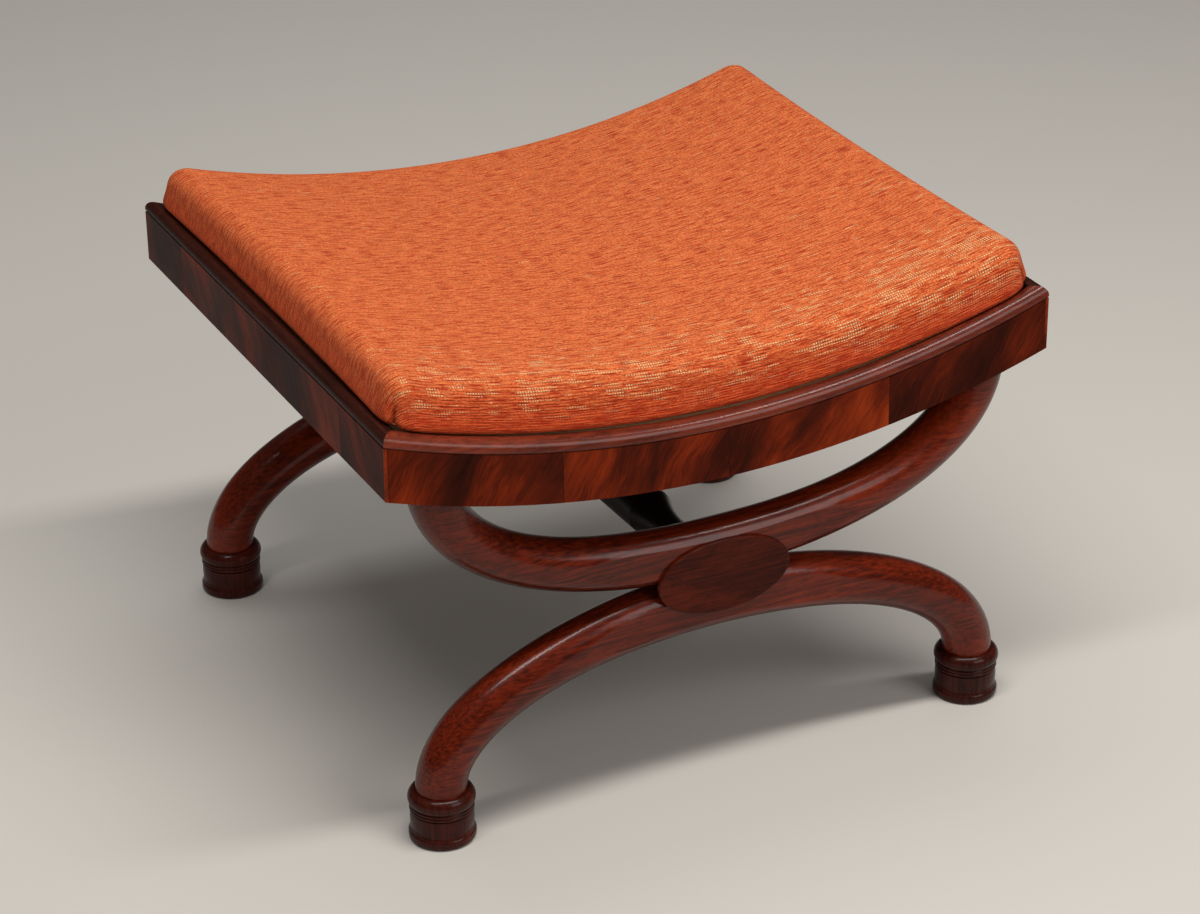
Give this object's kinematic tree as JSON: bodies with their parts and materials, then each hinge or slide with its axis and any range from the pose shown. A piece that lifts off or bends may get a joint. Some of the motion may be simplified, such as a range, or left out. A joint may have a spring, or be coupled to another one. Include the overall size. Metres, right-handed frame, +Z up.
{
  "type": "x frame stool",
  "caption": "X-frame stool with a saddle-shaped drop-in seat, shallow rails, crossed curved arcs, oval bosses, turned feet and a turned stretcher.",
  "frame": {"origin": "floor level, at the centre of the footprint", "axes": "+X along the seat's long side, +Y from the front arcs to the back arcs, +Z up"},
  "size_m": [0.61, 0.5392, 0.4332],
  "materials": {
    "rail_mahogany": "satin",
    "flame_veneer": "polished",
    "moulding_mahogany": "polished",
    "arc_mahogany": "polished",
    "foot_mahogany": "polished",
    "stretcher_mahogany": "polished",
    "boss_mahogany": "polished",
    "block_wood": "plain",
    "dowel_wood": "plain",
    "slip_frame_beech": "plain",
    "screw_steel": "dull",
    "tack_steel": "dull",
    "webbing": "woven",
    "hessian": "woven",
    "under_cloth": "matt",
    "chenille": "slubby ribbed chenille",
    "stuffing": "matt"
  },
  "bodies": {
    "frame": {"rail_front": "rail_mahogany", "veneer_front": "flame_veneer", "moulding_front": "moulding_mahogany", "rail_back": "rail_mahogany", "veneer_back": "flame_veneer", "moulding_back": "moulding_mahogany", "rail_left": "rail_mahogany", "veneer_left": "flame_veneer", "moulding_left": "moulding_mahogany", "rail_right": "rail_mahogany", "veneer_right": "flame_veneer", "moulding_right": "moulding_mahogany", "corner_block_front_left": "block_wood", "corner_block_front_right": "block_wood", "corner_block_back_left": "block_wood", "corner_block_back_right": "block_wood", "corner_block_screws": "screw_steel", "arc_upper_front": "arc_mahogany", "arc_lower_front": "arc_mahogany", "arc_upper_back": "arc_mahogany", "arc_lower_back": "arc_mahogany", "rail_dowels": "dowel_wood", "foot_dowels": "dowel_wood", "crossing_dowels": "dowel_wood", "foot_front_left": "foot_mahogany", "foot_front_right": "foot_mahogany", "foot_back_left": "foot_mahogany", "foot_back_right": "foot_mahogany", "stretcher": "stretcher_mahogany", "boss_front": "boss_mahogany", "boss_back": "boss_mahogany"},
    "seat": {"slip_rail_front": "slip_frame_beech", "slip_rail_back": "slip_frame_beech", "slip_rail_left": "slip_frame_beech", "slip_rail_right": "slip_frame_beech", "slip_dowels": "dowel_wood", "webbing_strap_1": "webbing", "webbing_strap_2": "webbing", "webbing_strap_3": "webbing", "webbing_strap_4": "webbing", "webbing_strap_5": "webbing", "webbing_strap_6": "webbing", "hessian": "hessian", "under_cloth": "under_cloth", "seat_cover": "chenille", "seat_pad": "stuffing", "webbing_tacks": "tack_steel", "cover_staples": "tack_steel"}
  },
  "joints": [
    {"name": "seat_lift", "type": "slide", "parent": "frame", "child": "seat", "axis": [0, 0, 1], "range_m": [0, 0.12]}
  ]
}
